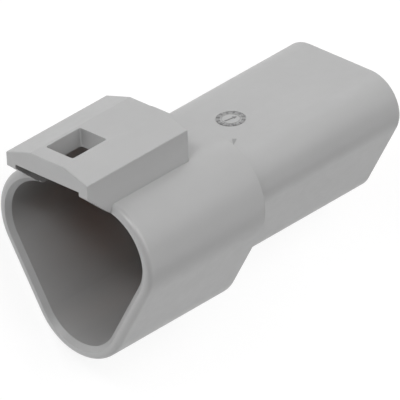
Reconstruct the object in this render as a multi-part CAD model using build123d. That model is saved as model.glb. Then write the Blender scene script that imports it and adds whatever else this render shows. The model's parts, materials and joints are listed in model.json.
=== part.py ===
from build123d import *
import math
import os

# Sealed three-way in-line receptacle: a moulded housing with a triangular
# mating hood and a latch bridge on its top side, a ribbed silicone wire seal
# in the rear, three turned pin contacts with open crimp barrels, and a
# triangular wedge lock that backs up the three retention fingers.
#
# Working frame while modelling (millimetres): +X points out of the mating
# hood, +Z out of the latch bridge, X = 0 is the hood's rim, and the X axis
# runs through the middle of the triangle. The finished pieces are then rolled
# about X so that the hood's left slanted side lies on the ground, and moved
# so that the middle of the footprint is the origin.

# ---------------------------------------------------------------- hood
HOOD_SIDE = 9.12          # side of the triangle of corner-arc centres
HOOD_R_OUT = 6.90         # outer corner radius
HOOD_R_IN = 5.37          # inner corner radius: wall 1.53
HOOD_LEN = 18.41          # rim to the rear step
HOOD_DEPTH = 16.90        # rim to the cavity floor
RIM_ROUND = 0.70          # rounding of the rim's outer edge
RIM_LEAD = 0.55           # lead-in chamfer inside the rim
RIM_BAND = 2.00           # stretch behind the rim that carries the feet
FLOOR_ROUND = 0.45        # inner rounding at the cavity floor

# ---------------------------------------------------------------- rear body
REAR_SIDE = 9.37
REAR_R = 4.06
REAR_DROP = 0.06          # the rear body sits this much below the hood axis
REAR_END = 43.07          # rim to the rear face
REAR_EDGE = 0.22          # rounding of the rear face's outer edge
STEP_ROUND = 0.22         # fillet where the rear body meets the hood step

# ---------------------------------------------------------------- latch bridge
BR_FRONT = 3.49           # the bridge overhangs the rim by this much
BR_REAR = 12.38           # its rear face, behind the rim
BR_HALF = 6.10            # half width
BR_FLAT = 2.42            # half width of the crown's flat
BR_TOP = 14.41            # height of the flat
BR_EDGE_Z = 13.28         # height of the crown at the bridge's sides
BR_CEIL = 12.08           # underside of the bridge's roof
BR_LEG_IN = 4.80          # inner face of the side legs
BR_LEG_Z = 11.58          # lower end of the legs at the front face
BR_FOOT = 0.0             # fillet along the foot of the side and rear walls: none, the crease is sharp
BR_SOFT = 0.14            # edge rounding of the bridge
CHANNEL_REAR = 10.90      # end of the latch channel, behind the rim

WIN_FRONT = 1.40          # latch window, front edge ahead of the rim
WIN_REAR = 3.97           # rear edge behind the rim
WIN_HALF = 2.03
WIN_R = 0.25              # upright corners
WIN_ROUND = 0.06          # rounding round its top edge

# ---------------------------------------------------------------- contacts
PIN_CIRCLE = 4.56         # radius of the circle through the three contacts
PIN_R = 0.7875            # 1.575 mm pin
PIN_TIP = 11.40           # pin tip behind the rim
ROOT_R = 0.98             # thicker root inside the wedge lock and the housing
ROOT_START = 15.30
SEAT = 20.90              # contact shoulder seat behind the rim
CONTACT_R = 1.27
GROOVE_R = 0.95
CONTACT_END = 33.60
CRIMP_BORE_R = 0.98
CRIMP_DEPTH = 6.20
CAVITY_R = 1.42
PIN_HOLE_R = 1.08

# ---------------------------------------------------------------- wedge lock
BORE_IN = 2.45            # flats of the central triangular bore
BORE_CORNER = 0.60
BORE_END = 28.20
FINGER_HALF = 0.80        # half width of a retention finger
FINGER_SLOT = 1.15        # half width of the slot it stands in
FINGER_OUT = 3.03         # outer face of the finger, from the part's axis
FINGER_TIP = 21.78        # finger tip behind the rim
HOOK_OUT = 3.50           # the finger's hook reaches into the contact groove
WEDGE_GAP = 0.12
WEDGE_PLATE = 1.40
WEDGE_END = 26.60
WEDGE_SIDE = 7.90
WEDGE_R = 1.90

# ---------------------------------------------------------------- wire seal
POCKET_R = 2.62
POCKET_FRONT = 35.60
SEAL_END = 42.60
SEAL_RIB_R = 2.60
SEAL_BODY_R = 2.28
SEAL_HOLE_R = 1.30
SEAL_LIP_R = 0.80

# ---------------------------------------------------------------- date ring
RING_X = 25.30            # centre behind the rim, on the rear body's top
RING_R = 1.70
RING_W = 0.13
RING_IN_R = 1.12
RING_DEEP = 0.06

ROLL = 60.0               # turn that lays the left slanted side on the ground

CONTACT_ANGLES = (30.0, 150.0, 270.0)


def centres(side, flip=False):
    """Corner-arc centres of a triangle, one corner down (up if flipped)."""
    r = side / math.sqrt(3.0)
    turn = 180.0 if flip else 0.0
    return [(r * math.cos(math.radians(a + turn)), r * math.sin(math.radians(a + turn)))
            for a in CONTACT_ANGLES]


def rounded_triangle(side, radius, x, flip=False, drop=0.0):
    """Rounded triangle in the plane X = x."""
    tri = Polygon(*centres(side, flip), align=None)
    face = offset(tri, amount=radius, kind=Kind.ARC)
    return Plane.YZ.offset(x) * (Pos(0, -drop, 0) * face)


def prism(side, radius, x_back, x_front, flip=False, drop=0.0):
    return extrude(rounded_triangle(side, radius, x_back, flip, drop), amount=x_front - x_back)


def rod(x_back, x_front, radius, y, z):
    return extrude(Plane.YZ.offset(x_back) * (Pos(y, z, 0) * Circle(radius)), amount=x_front - x_back)


def contact_yz(angle):
    a = math.radians(angle)
    return PIN_CIRCLE * math.cos(a), PIN_CIRCLE * math.sin(a)


def block(x0, x1, y0, y1, z0, z1):
    return Pos((x0 + x1) / 2, (y0 + y1) / 2, (z0 + z1) / 2) * Box(abs(x1 - x0), abs(y1 - y0), abs(z1 - z0))


# ================================================================ housing
# Bridge: a side profile with a sloped gusset under the overhang, cut to the
# crowned cross-section. The part behind the rim band is joined to the hood
# first, so that one fillet runs along its side walls and round its rear.
hood_top = HOOD_SIDE / (2 * math.sqrt(3)) + HOOD_R_OUT
in_top = HOOD_SIDE / (2 * math.sqrt(3)) + HOOD_R_IN
slope_run = BR_LEG_Z - in_top
with BuildSketch(Plane.XZ) as side_sk:
    with BuildLine():
        Polyline((-BR_REAR, in_top), (-BR_REAR, BR_TOP + 1), (BR_FRONT, BR_TOP + 1),
                 (BR_FRONT, BR_LEG_Z), (BR_FRONT - slope_run / 0.93, in_top),
                 (-BR_REAR, in_top))
    make_face()
side_body = extrude(side_sk.sketch, amount=BR_HALF, both=True)
with BuildSketch(Plane.YZ.offset(-20)) as crown_sk:
    with BuildLine():
        Polyline((-BR_HALF, 5.0), (BR_HALF, 5.0), (BR_HALF, BR_EDGE_Z), (BR_FLAT, BR_TOP),
                 (-BR_FLAT, BR_TOP), (-BR_HALF, BR_EDGE_Z), (-BR_HALF, 5.0))
    make_face()
bridge = side_body & extrude(crown_sk.sketch, amount=30)
top_edges = [e for e in bridge.edges() if e.bounding_box().min.Z > BR_EDGE_Z - 0.01]
bridge = fillet(top_edges, BR_SOFT)

bridge_rear = bridge & block(-40, -RIM_BAND, -10, 10, 0, 20)
bridge_front = bridge & block(-RIM_BAND, 20, -10, 10, 0, 20)
hood_rear = prism(HOOD_SIDE, HOOD_R_OUT, -HOOD_LEN, -RIM_BAND) + bridge_rear
foot_edges = [e for e in hood_rear.edges()
              if hood_top - 0.4 < e.bounding_box().min.Z and e.bounding_box().max.Z < hood_top + 0.01
              and abs(e.center().Y) < BR_HALF + 0.01 and -BR_REAR - 0.01 < e.center().X < -RIM_BAND - 0.01
              and (abs(e.center().X + BR_REAR) < 0.01 or abs(abs(e.center().Y) - BR_HALF) < 0.01)]
print("foot edges", len(foot_edges), [tuple(round(c, 2) for c in e.center()) for e in foot_edges])
if BR_FOOT > 0:
    hood_rear = fillet(foot_edges, BR_FOOT)

# The first stretch behind the rim carries the bridge's side walls and their
# feet in its outline, so that the rim's rounding runs out into the feet.
outline = offset(Polygon(*centres(HOOD_SIDE), align=None), amount=HOOD_R_OUT, kind=Kind.ARC)
outline += Pos(0, 8.95, 0) * Rectangle(2 * BR_HALF, 7.9)
foot_points = [v for v in outline.vertices() if abs(abs(v.X) - BR_HALF) < 1e-3 and v.Y < 11.0]
if BR_FOOT > 0:
    outline = fillet(foot_points, BR_FOOT)
band = extrude(Plane.YZ.offset(-RIM_BAND) * outline, amount=RIM_BAND)
rim_edges = band.edges().filter_by(lambda e: abs(e.center().X) < 1e-4 and e.center().Z < 12.85)
band = fillet(rim_edges, RIM_ROUND)
hood = hood_rear + band + bridge_front

rear = prism(REAR_SIDE, REAR_R, -REAR_END, -HOOD_LEN + 1.0, drop=REAR_DROP)
end_edges = rear.edges().filter_by(lambda e: abs(e.center().X + REAR_END) < 1e-4)
rear = fillet(end_edges, REAR_EDGE)

housing = hood + rear
step = housing.edges().filter_by(
    lambda e: abs(e.bounding_box().min.X + HOOD_LEN) < 1e-4
    and abs(e.bounding_box().max.X + HOOD_LEN) < 1e-4
    and max(math.hypot(v.Y, v.Z) for v in e.vertices()) < REAR_SIDE / math.sqrt(3) + REAR_R + 0.5
    and abs(e.center().Z) < 12.0
    and min(math.hypot(v.Y, v.Z) for v in e.vertices()) < 8.6)
housing = fillet(step, STEP_ROUND)

# Hood cavity with its lead-in, the latch channel above it and the window.
cavity = prism(HOOD_SIDE, HOOD_R_IN, -HOOD_DEPTH, 0.0)
floor_edges = cavity.edges().filter_by(lambda e: abs(e.center().X + HOOD_DEPTH) < 1e-4)
cavity = fillet(floor_edges, FLOOR_ROUND)
lead = loft([rounded_triangle(HOOD_SIDE, HOOD_R_IN + RIM_LEAD + 0.02, 0.02),
             rounded_triangle(HOOD_SIDE, HOOD_R_IN, -RIM_LEAD)], ruled=True)
housing = housing - cavity - lead
channel = block(-CHANNEL_REAR, BR_FRONT + 2.0, -BR_LEG_IN, BR_LEG_IN, 4.0, BR_CEIL)
housing = housing - channel
window = block(-WIN_REAR, WIN_FRONT, -WIN_HALF, WIN_HALF, BR_CEIL - 1.0, BR_TOP + 1.0)
window = fillet(window.edges().filter_by(Axis.Z), WIN_R)
housing = housing - window
win_edges = [e for e in housing.edges() if e.bounding_box().min.Z > BR_TOP - 0.001
             and -WIN_REAR - 0.01 < e.center().X < WIN_FRONT + 0.01 and abs(e.center().Y) < WIN_HALF + 0.01]
print("window edges", len(win_edges))
housing = fillet(win_edges, WIN_ROUND)

# Contact cavities, pin holes, the central triangular bore, finger slots.
bore_side = (BORE_IN - BORE_CORNER) * 2 * math.sqrt(3)
inner = prism(bore_side, BORE_CORNER, -BORE_END, -HOOD_DEPTH + 0.5, flip=True)
for a in CONTACT_ANGLES:
    y, z = contact_yz(a)
    inner += rod(-SEAT - 0.01, -HOOD_DEPTH + 0.5, PIN_HOLE_R, y, z)
    inner += rod(-POCKET_FRONT - 0.01, -SEAT, CAVITY_R, y, z)
    slot = block(-BORE_END, -SEAT, 1.2, PIN_CIRCLE, -FINGER_SLOT, FINGER_SLOT)
    inner += Rot(a, 0, 0) * slot
housing = housing - inner
for a in CONTACT_ANGLES:
    bar = block(-BORE_END - 0.4, -FINGER_TIP, BORE_IN, FINGER_OUT, -FINGER_HALF, FINGER_HALF)
    with BuildSketch(Plane.XY) as hook_sk:
        with BuildLine():
            Polyline((-FINGER_TIP, FINGER_OUT - 0.1), (-FINGER_TIP, HOOK_OUT), (-FINGER_TIP - 0.45, HOOK_OUT),
                     (-FINGER_TIP - 1.15, FINGER_OUT - 0.1), (-FINGER_TIP, FINGER_OUT - 0.1))
        make_face()
    hook = extrude(hook_sk.sketch, amount=FINGER_HALF, both=True)
    housing = housing + Rot(a, 0, 0) * (bar + hook)

# Seal pocket at the rear.
pocket = prism(REAR_SIDE, POCKET_R, -REAR_END - 0.5, -POCKET_FRONT, drop=REAR_DROP)
housing = housing - pocket
mouth = housing.edges().filter_by(
    lambda e: abs(e.bounding_box().min.X + REAR_END) < 1e-4 and abs(e.bounding_box().max.X + REAR_END) < 1e-4
    and min(math.hypot(v.Y, v.Z) for v in e.vertices()) < REAR_SIDE / math.sqrt(3) + POCKET_R + 0.2
    and max(math.hypot(v.Y, v.Z) for v in e.vertices()) < REAR_SIDE / math.sqrt(3) + POCKET_R + 0.2)
print("mouth edges", len(mouth))
if len(mouth):
    try:
        housing = chamfer(mouth, 0.25)
    except Exception as exc:
        print("mouth chamfer left out:", exc)

# Date ring: two shallow round grooves on the rear body's top.
rear_top = REAR_SIDE / (2 * math.sqrt(3)) + REAR_R - REAR_DROP
for r in (RING_R, RING_IN_R):
    groove = Cylinder(r, 1.0) - Cylinder(r - RING_W, 1.0)
    housing = housing - Pos(-RING_X, 0, rear_top - RING_DEEP + 0.5) * groove

# ================================================================ contacts
def contact():
    tip = -PIN_TIP
    pts = [(tip, 0), (tip, 0.32), (tip - 0.18, 0.50), (tip - 1.10, PIN_R), (-ROOT_START, PIN_R),
           (-ROOT_START, ROOT_R), (-SEAT, ROOT_R),
           (-SEAT, CONTACT_R), (-SEAT - 0.80, CONTACT_R), (-SEAT - 0.80, GROOVE_R), (-SEAT - 2.30, GROOVE_R),
           (-SEAT - 2.45, CONTACT_R), (-CONTACT_END + 0.12, CONTACT_R), (-CONTACT_END, CONTACT_R - 0.08),
           (-CONTACT_END, CRIMP_BORE_R + 0.10), (-CONTACT_END + 0.15, CRIMP_BORE_R),
           (-CONTACT_END + CRIMP_DEPTH, CRIMP_BORE_R), (-CONTACT_END + CRIMP_DEPTH + 0.5, 0)]
    with BuildSketch(Plane.XY) as sk:
        with BuildLine():
            Polyline(*pts, close=True)
        make_face()
    body = revolve(sk.sketch, Axis.X, 360)
    sight = Pos(-CONTACT_END + CRIMP_DEPTH - 0.75, 0, 1.0) * Cylinder(0.35, 2.0)
    return body - sight


# ================================================================ wedge lock
hub_side = (BORE_IN - WEDGE_GAP - (BORE_CORNER - 0.12)) * 2 * math.sqrt(3)
plate = prism(WEDGE_SIDE, WEDGE_R, -HOOD_DEPTH + WEDGE_GAP, -HOOD_DEPTH + WEDGE_GAP + WEDGE_PLATE)
plate = fillet(plate.edges().filter_by(lambda e: abs(e.center().X - (-HOOD_DEPTH + WEDGE_GAP + WEDGE_PLATE)) < 1e-4), 0.30)
hub = prism(hub_side, BORE_CORNER - 0.12, -WEDGE_END, -HOOD_DEPTH + WEDGE_GAP + 0.1, flip=True)
hub = chamfer(hub.edges().filter_by(lambda e: abs(e.center().X + WEDGE_END) < 1e-4), 0.40)
wedge = plate + hub
wedge = wedge - rod(-WEDGE_END - 1, -HOOD_DEPTH + 3, 0.80, 0, 0)
for a in CONTACT_ANGLES:
    y, z = contact_yz(a)
    wedge = wedge - rod(-HOOD_DEPTH, -HOOD_DEPTH + 3, ROOT_R + 0.20, y, z)

# ================================================================ wire seal
seal = prism(REAR_SIDE, SEAL_BODY_R, -SEAL_END, -POCKET_FRONT, drop=REAR_DROP)
for x in (36.10, 38.60, 41.10):
    seal = seal + prism(REAR_SIDE, SEAL_RIB_R, -x - 1.0, -x, drop=REAR_DROP)
for a in CONTACT_ANGLES:
    y, z = contact_yz(a)
    cut = rod(-SEAL_END - 0.5, -POCKET_FRONT + 0.5, SEAL_LIP_R, y, z)
    for x0, x1 in ((35.10, 36.60), (37.30, 38.60), (39.30, 40.60), (41.30, 43.10)):
        cut += rod(-x1, -x0, SEAL_HOLE_R, y, z)
    seal = seal - cut

# ================================================================ place and write
pieces = {
    "housing": housing,
    "wire_seal": seal,
    "wedge_lock": wedge,
}
for i, a in enumerate(CONTACT_ANGLES):
    y, z = contact_yz(a)
    pieces["pin_contact_%d" % (i + 1)] = Pos(0, y, z) * (Rot(a, 0, 0) * contact())

os.makedirs("parts", exist_ok=True)
rolled = {k: Rot(ROLL, 0, 0) * v for k, v in pieces.items()}
lo = [1e9] * 3
hi = [-1e9] * 3
for v in rolled.values():
    b = v.bounding_box()
    for i, (p, q) in enumerate(((b.min.X, b.max.X), (b.min.Y, b.max.Y), (b.min.Z, b.max.Z))):
        lo[i] = min(lo[i], p)
        hi[i] = max(hi[i], q)
shift = Pos(-(lo[0] + hi[0]) / 2, -(lo[1] + hi[1]) / 2, -lo[2])
print("shift", [round(-(lo[0] + hi[0]) / 2, 5), round(-(lo[1] + hi[1]) / 2, 5), round(-lo[2], 5)])
print("size", [round(hi[i] - lo[i], 3) for i in range(3)])
for k, v in rolled.items():
    s = shift * v
    solids = s.solids()
    print(k, "solids", len(solids), "volume", round(s.volume, 2))
    export_step(s if len(solids) != 1 else solids[0], "parts/%s.step" % k)
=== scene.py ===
import json
import math

import bmesh
import bpy
from mathutils import Matrix, Quaternion, Vector

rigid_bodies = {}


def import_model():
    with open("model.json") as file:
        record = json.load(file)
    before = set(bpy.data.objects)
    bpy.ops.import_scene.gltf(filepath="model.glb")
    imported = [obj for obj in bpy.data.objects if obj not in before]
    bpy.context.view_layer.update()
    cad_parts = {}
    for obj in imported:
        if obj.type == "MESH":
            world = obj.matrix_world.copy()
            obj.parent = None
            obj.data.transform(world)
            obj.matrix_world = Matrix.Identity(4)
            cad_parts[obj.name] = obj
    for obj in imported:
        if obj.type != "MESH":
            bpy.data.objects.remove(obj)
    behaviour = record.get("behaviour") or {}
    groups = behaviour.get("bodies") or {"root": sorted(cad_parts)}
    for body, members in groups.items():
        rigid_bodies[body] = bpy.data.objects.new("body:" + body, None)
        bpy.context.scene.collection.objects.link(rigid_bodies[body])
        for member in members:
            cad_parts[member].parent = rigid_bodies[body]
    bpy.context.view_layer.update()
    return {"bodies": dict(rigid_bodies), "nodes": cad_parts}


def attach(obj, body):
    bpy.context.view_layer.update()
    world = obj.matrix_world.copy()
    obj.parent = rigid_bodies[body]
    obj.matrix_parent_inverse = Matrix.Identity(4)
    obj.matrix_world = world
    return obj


# Sealed three-way connector receptacle, seen from the front right and above,
# on a plain white table under soft light.

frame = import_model()
BODIES = frame["bodies"]
NODES = frame["nodes"]

# The housing lies on its left slanted side: the moulding's own frame (X out
# of the hood, Z out of the latch bridge) is rolled about X and then moved.
ROLL = math.radians(60.0)
SHIFT = Vector((0.01979, 0.00153561, 0.00953272))


def row(x, y, z):
    """Millimetres in the moulding's frame to metres in the row frame."""
    c, s = math.cos(ROLL), math.sin(ROLL)
    return Vector((x, y * c - z * s, y * s + z * c)) / 1000.0 + SHIFT


def row_dir(x, y, z):
    c, s = math.cos(ROLL), math.sin(ROLL)
    return Vector((x, y * c - z * s, y * s + z * c)).normalized()


# ------------------------------------------------------------------ materials
def new_material(name):
    m = bpy.data.materials.new(name)
    m.use_nodes = True
    nt = m.node_tree
    nt.nodes.clear()
    out = nt.nodes.new("ShaderNodeOutputMaterial")
    bsdf = nt.nodes.new("ShaderNodeBsdfPrincipled")
    nt.links.new(bsdf.outputs["BSDF"], out.inputs["Surface"])
    return m, nt, bsdf


def noise(nt, vector, scale, detail=2.0, rough=0.5):
    n = nt.nodes.new("ShaderNodeTexNoise")
    n.inputs["Scale"].default_value = scale
    n.inputs["Detail"].default_value = detail
    n.inputs["Roughness"].default_value = rough
    nt.links.new(vector, n.inputs["Vector"])
    return n


def ramp(nt, value, stops):
    r = nt.nodes.new("ShaderNodeValToRGB")
    el = r.color_ramp.elements
    while len(el) < len(stops):
        el.new(0.5)
    for e, (pos, col) in zip(el, stops):
        e.position = pos
        e.color = (*col, 1.0)
    nt.links.new(value, r.inputs["Fac"])
    return r


def spread(nt, value, low, high):
    r = nt.nodes.new("ShaderNodeMapRange")
    r.inputs["From Min"].default_value = 0.3
    r.inputs["From Max"].default_value = 0.7
    r.inputs["To Min"].default_value = low
    r.inputs["To Max"].default_value = high
    nt.links.new(value, r.inputs["Value"])
    return r.outputs["Result"]


def bump(nt, height, strength, distance, normal=None):
    b = nt.nodes.new("ShaderNodeBump")
    b.inputs["Strength"].default_value = strength
    b.inputs["Distance"].default_value = distance
    nt.links.new(height, b.inputs["Height"])
    if normal is not None:
        nt.links.new(normal, b.inputs["Normal"])
    return b.outputs["Normal"]


def paint_hollow_shade(nt, colour, reach, amount):
    """Painted shade: darken a colour where the piece's own walls stand close to it."""
    ao = nt.nodes.new("ShaderNodeAmbientOcclusion")
    ao.only_local = True
    ao.samples = 12
    ao.inputs["Distance"].default_value = reach
    shade = nt.nodes.new("ShaderNodeMapRange")
    shade.inputs["From Min"].default_value = 0.0
    shade.inputs["From Max"].default_value = 1.0
    shade.inputs["To Min"].default_value = 1.0 - amount
    shade.inputs["To Max"].default_value = 1.0
    nt.links.new(ao.outputs["AO"], shade.inputs["Value"])
    mix = nt.nodes.new("ShaderNodeVectorMath")
    mix.operation = "SCALE"
    nt.links.new(colour, mix.inputs[0])
    nt.links.new(shade.outputs["Result"], mix.inputs["Scale"])
    return mix.outputs["Vector"]


def moulded(name, tone_a, tone_b, rough, grain=0.35, specular=0.4, painted_shade_amount=0.0):
    """Moulded nylon: faint flow mottling, fine spark-eroded grain, satin. Where asked, painted shade darkens the colour
    in hollows.
    """
    m, nt, bsdf = new_material(name)
    tc = nt.nodes.new("ShaderNodeTexCoord")
    vec = tc.outputs["Object"]
    stretch = nt.nodes.new("ShaderNodeMapping")
    stretch.inputs["Scale"].default_value = (0.45, 1.0, 1.0)
    nt.links.new(vec, stretch.inputs["Vector"])
    flow = noise(nt, stretch.outputs["Vector"], 260.0, 3.0, 0.55)
    col = ramp(nt, flow.outputs["Fac"], [(0.30, tone_a), (0.70, tone_b)])
    colour = col.outputs["Color"]
    # Painted shade: ambient occlusion darkens the colour in creases and recesses, at a long and a short reach.
    if painted_shade_amount:
        colour = paint_hollow_shade(nt, colour, 0.020, painted_shade_amount)
        colour = paint_hollow_shade(nt, colour, 0.0012, painted_shade_amount / 5.0)
    nt.links.new(colour, bsdf.inputs["Base Color"])
    patch = noise(nt, vec, 900.0, 2.0, 0.5)
    nt.links.new(spread(nt, patch.outputs["Fac"], rough - 0.04, rough + 0.04), bsdf.inputs["Roughness"])
    fine = noise(nt, vec, 9000.0, 2.0, 0.6)
    nt.links.new(bump(nt, fine.outputs["Fac"], grain, 0.00002), bsdf.inputs["Normal"])
    bsdf.inputs["Specular IOR Level"].default_value = specular
    bsdf.inputs["IOR"].default_value = 1.5
    return m


def silicone(name):
    """Soft translucent rubber with a dusting of bloom."""
    m, nt, bsdf = new_material(name)
    tc = nt.nodes.new("ShaderNodeTexCoord")
    vec = tc.outputs["Object"]
    cloud = noise(nt, vec, 420.0, 4.0, 0.6)
    col = ramp(nt, cloud.outputs["Fac"], [(0.30, (0.62, 0.105, 0.018)), (0.70, (0.74, 0.155, 0.030))])
    nt.links.new(col.outputs["Color"], bsdf.inputs["Base Color"])
    nt.links.new(spread(nt, cloud.outputs["Fac"], 0.42, 0.55), bsdf.inputs["Roughness"])
    fine = noise(nt, vec, 6000.0, 2.0, 0.5)
    nt.links.new(bump(nt, fine.outputs["Fac"], 0.25, 0.00002), bsdf.inputs["Normal"])
    bsdf.inputs["Subsurface Weight"].default_value = 0.25
    bsdf.inputs["Subsurface Radius"].default_value = (0.0010, 0.0003, 0.0001)
    bsdf.inputs["Subsurface Scale"].default_value = 1.0
    bsdf.inputs["Specular IOR Level"].default_value = 0.35
    return m


def nickel(name):
    """Turned and nickel plated: fine lathe rings round the contact's axis."""
    m, nt, bsdf = new_material(name)
    tc = nt.nodes.new("ShaderNodeTexCoord")
    vec = tc.outputs["Object"]
    sep = nt.nodes.new("ShaderNodeSeparateXYZ")
    nt.links.new(vec, sep.inputs["Vector"])
    wave = nt.nodes.new("ShaderNodeTexWave")
    wave.wave_type = "BANDS"
    wave.bands_direction = "X"
    wave.inputs["Scale"].default_value = 2600.0
    wave.inputs["Distortion"].default_value = 0.6
    wave.inputs["Detail"].default_value = 2.0
    nt.links.new(vec, wave.inputs["Vector"])
    cloud = noise(nt, vec, 500.0, 3.0, 0.5)
    col = ramp(nt, cloud.outputs["Fac"], [(0.30, (0.60, 0.57, 0.51)), (0.70, (0.72, 0.69, 0.63))])
    nt.links.new(col.outputs["Color"], bsdf.inputs["Base Color"])
    nt.links.new(spread(nt, cloud.outputs["Fac"], 0.22, 0.34), bsdf.inputs["Roughness"])
    nt.links.new(bump(nt, wave.outputs["Fac"], 0.15, 0.00001), bsdf.inputs["Normal"])
    bsdf.inputs["Metallic"].default_value = 1.0
    return m


# The grey housing's colour carries painted shade in its creases and recesses.
GREY = moulded("grey_nylon", (0.416, 0.416, 0.416), (0.432, 0.432, 0.432), 0.42, grain=0.12, specular=1.0, painted_shade_amount=0.25)
ORANGE = moulded("orange_nylon", (0.72, 0.185, 0.022), (0.80, 0.225, 0.030), 0.42, grain=0.25)
SEAL = silicone("seal_silicone_look")
METAL = nickel("nickel_look")
# The date numerals and arrow are coloured darker as painted shade for their raised relief.
SHADED_MARK = moulded("grey_nylon_mark_painted_shade", (0.225, 0.225, 0.225), (0.265, 0.265, 0.265), 0.55, grain=0.2)
# The date band's darker colour is painted shade, standing in for the shade among the numerals.
SHADE_BAND = moulded("grey_nylon_painted_shade", (0.305, 0.305, 0.305), (0.345, 0.345, 0.345), 0.60, grain=0.5)

for node, mat in (("housing", GREY), ("wedge_lock", ORANGE), ("wire_seal", SEAL),
                  ("pin_contact_1", METAL), ("pin_contact_2", METAL), ("pin_contact_3", METAL)):
    for s in NODES[node].material_slots:
        s.material = mat


# ------------------------------------------------------------------ date mark
# A plain date clock, as any moulding tool has: the twelve months as numerals
# between two rings, and an arrow. The rings are grooves in the housing. The band
# between them is coloured darker as painted shade for the relief among the
# numerals, and the numerals and arrow are darker still, painted shade too.
RING_AT = (-25.30, 0.0, 6.7048)     # moulding frame, on the rear body's top
RING_OUT, RING_IN = 1.70, 1.12


def top_frame(x, y, z, turn=0.0):
    """Matrix of a place on the moulding's top: its local +Z is out of the top."""
    ex = row_dir(math.cos(turn), math.sin(turn), 0.0)
    ey = row_dir(-math.sin(turn), math.cos(turn), 0.0)
    ez = row_dir(0.0, 0.0, 1.0)
    m = Matrix((ex, ey, ez)).transposed().to_4x4()
    m.translation = row(x, y, z)
    return m


def glyph(text, size, depth, matrix):
    """A numeral as a thin raised mesh, its middle at the matrix's origin."""
    cu = bpy.data.curves.new("glyph", "FONT")
    cu.body = text
    cu.size = size
    cu.align_x = "CENTER"
    cu.align_y = "CENTER"
    cu.extrude = depth / 2
    cu.offset = size * 0.018
    cu.resolution_u = 3
    ob = bpy.data.objects.new("glyph", cu)
    bpy.context.scene.collection.objects.link(ob)
    bpy.context.view_layer.update()
    me = bpy.data.meshes.new_from_object(ob)
    bpy.data.objects.remove(ob)
    bpy.data.curves.remove(cu)
    me.transform(Matrix.Translation((0, 0, depth / 2)))
    me.transform(matrix)
    return me


def join_meshes(name, meshes, material):
    bm = bmesh.new()
    for me in meshes:
        bm.from_mesh(me)
        bpy.data.meshes.remove(me)
    bmesh.ops.remove_doubles(bm, verts=bm.verts, dist=1e-7)
    bmesh.ops.recalc_face_normals(bm, faces=bm.faces)
    me = bpy.data.meshes.new(name)
    bm.to_mesh(me)
    bm.free()
    me.materials.append(material)
    ob = bpy.data.objects.new(name, me)
    bpy.context.scene.collection.objects.link(ob)
    return ob


marks = []
for i in range(12):
    a = math.radians(90.0 + 30.0 * i)
    r = (RING_OUT + RING_IN) / 2
    x = RING_AT[0] + r * math.cos(a)
    y = RING_AT[1] + r * math.sin(a)
    marks.append(glyph(str(i + 1), 0.00058, 0.00006, top_frame(x, y, RING_AT[2], a - math.pi / 2)))


def plate_mesh(pts, depth, matrix):
    """A thin plate with the given outline, standing on the matrix's plane."""
    bm = bmesh.new()
    low = [bm.verts.new((x, y, 0)) for x, y in pts]
    high = [bm.verts.new((x, y, depth)) for x, y in pts]
    bm.faces.new(low[::-1])
    bm.faces.new(high)
    n = len(pts)
    for i in range(n):
        j = (i + 1) % n
        bm.faces.new((low[i], low[j], high[j], high[i]))
    me = bpy.data.meshes.new("plate")
    bm.to_mesh(me)
    bm.free()
    me.transform(matrix)
    return me


def arrow_points(length, width, head):
    return [(-length / 2, -width / 2), (length / 2 - head, -width / 2), (length / 2 - head, -head * 0.55),
            (length / 2, 0), (length / 2 - head, head * 0.55), (length / 2 - head, width / 2), (-length / 2, width / 2)]


def ring_mesh(r_in, r_out, depth, matrix, n=96):
    """A thin flat band between two circles."""
    bm = bmesh.new()
    rows = []
    for r, z in ((r_in, 0.0), (r_out, 0.0), (r_out, depth), (r_in, depth)):
        rows.append([bm.verts.new((r * math.cos(2 * math.pi * i / n), r * math.sin(2 * math.pi * i / n), z)) for i in range(n)])
    for k in range(4):
        a, b = rows[k], rows[(k + 1) % 4]
        for i in range(n):
            j = (i + 1) % n
            bm.faces.new((a[i], a[j], b[j], b[i]))
    me = bpy.data.meshes.new("band")
    bm.to_mesh(me)
    bm.free()
    me.transform(matrix)
    return me


marks.append(plate_mesh(arrow_points(0.00160, 0.00016, 0.00045), 0.00006,
                        top_frame(RING_AT[0], RING_AT[1], RING_AT[2] - 0.01, math.radians(180 - 10))))
date_mark = join_meshes("date_mark", marks, SHADED_MARK)
# A plain triangular mould mark behind the hood goes with the band, in the same painted-shade colour.
triangle = plate_mesh([(-0.00058, -0.00025), (0.00078, 0.0), (-0.00058, 0.00025)], 0.00005,
                      top_frame(-21.84, 3.76, RING_AT[2] - 0.01, math.radians(39.0)))
date_band_painted_shade = join_meshes("date_band_painted_shade", [triangle, ring_mesh((RING_IN + 0.09) / 1000, (RING_OUT - 0.09) / 1000, 0.000012,
                                                top_frame(RING_AT[0], RING_AT[1], RING_AT[2] - 0.004))], SHADE_BAND)
for mark in (date_mark, date_band_painted_shade):
    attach(mark, "shell")

# ------------------------------------------------------------------ table
floor_me = bpy.data.meshes.new("table_top")
floor_me.from_pydata([(-6, -6, 0), (6, -6, 0), (6, 6, 0), (-6, 6, 0)], [], [(0, 1, 2, 3)])
floor = bpy.data.objects.new("table_top", floor_me)
bpy.context.scene.collection.objects.link(floor)
floor.location = (0, 0, -0.00002)
fm, fnt, fb = new_material("table_white")
tcf = fnt.nodes.new("ShaderNodeTexCoord")
fn = noise(fnt, tcf.outputs["Object"], 60.0, 3.0, 0.5)
fcol = ramp(fnt, fn.outputs["Fac"], [(0.3, (0.215, 0.215, 0.215)), (0.7, (0.225, 0.225, 0.225))])
fnt.links.new(fcol.outputs["Color"], fb.inputs["Base Color"])
fb.inputs["Roughness"].default_value = 0.8
fb.inputs["Specular IOR Level"].default_value = 0.1
fb.inputs["Emission Color"].default_value = (1, 1, 1, 1)
FLOOR_GLOW = 0.831
fb.inputs["Emission Strength"].default_value = FLOOR_GLOW
floor_me.materials.append(fm)

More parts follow.
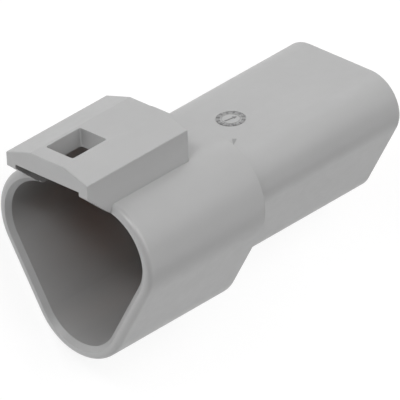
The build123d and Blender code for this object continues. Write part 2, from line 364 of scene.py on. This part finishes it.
# ------------------------------------------------------------------ light
# Soft lamps given by azimuth, elevation (degrees, row frame), spread and power.
LAMPS = [
    ("lamp_left_high", 270.0, 72.0, 45.0, 0.735),
    ("lamp_top", 0.0, 90.0, 65.0, 0.617),
    ("lamp_key", 317.0, 36.0, 12.0, 0.550),
    ("lamp_rear_left_low", 225.0, 10.0, 30.0, 0.383),
    ("lamp_rear_high", 180.0, 72.0, 45.0, 0.369),
    ("lamp_key_wide", 317.0, 36.0, 24.0, 0.326),
    ("lamp_rear_right", 120.0, 30.0, 30.0, 0.309),
    ("lamp_rear_left", 210.0, 30.0, 30.0, 0.255),
    ("lamp_key_high", 317.0, 50.0, 24.0, 0.239),
    ("lamp_rear_right_high", 135.0, 60.0, 45.0, 0.071),
]


def add_lamp(name, az, el, spread_deg, power):
    d = bpy.data.lights.new(name, "SUN")
    d.energy = power
    d.angle = math.radians(spread_deg)
    o = bpy.data.objects.new(name, d)
    bpy.context.scene.collection.objects.link(o)
    a, e = math.radians(az), math.radians(el)
    back = Vector((math.cos(a) * math.cos(e), math.sin(a) * math.cos(e), math.sin(e)))
    o.rotation_mode = "QUATERNION"
    o.rotation_quaternion = back.to_track_quat("Z", "Y")
    o.location = back * 0.5
    return o


for lamp in LAMPS:
    add_lamp(*lamp)

# The studio behind the table's edge is white, and gives no light of its own.
world = bpy.data.worlds.new("studio")
bpy.context.scene.world = world
world.use_nodes = True
wnt = world.node_tree
bg = wnt.nodes.get("Background") or wnt.nodes.new("ShaderNodeBackground")
bg.inputs["Color"].default_value = (1.0, 1.0, 1.0, 1.0)
seen = wnt.nodes.new("ShaderNodeLightPath")
wnt.links.new(seen.outputs["Is Camera Ray"], bg.inputs["Strength"])

bpy.context.scene.view_settings.view_transform = "Standard"
bpy.context.scene.view_settings.look = "None"
bpy.context.scene.view_settings.exposure = 0.0
bpy.context.scene.view_settings.gamma = 1.0

# ------------------------------------------------------------------ camera
# A very long lens stands in for the photograph's parallel projection.
cam_data = bpy.data.cameras.new("camera")
cam = bpy.data.objects.new("camera", cam_data)
bpy.context.scene.collection.objects.link(cam)
cam_data.type = "PERSP"
cam_data.sensor_width = 36.0
cam_data.lens = 1500.0
cam_data.clip_start = 0.05
cam_data.clip_end = 20.0
cam.rotation_mode = "QUATERNION"
cam.location = (1.1219895, -0.2318926, 1.4424096)
cam.rotation_quaternion = Quaternion((0.21571544, 0.33080643, 0.00815462, 0.91867702))
bpy.context.scene.camera = cam
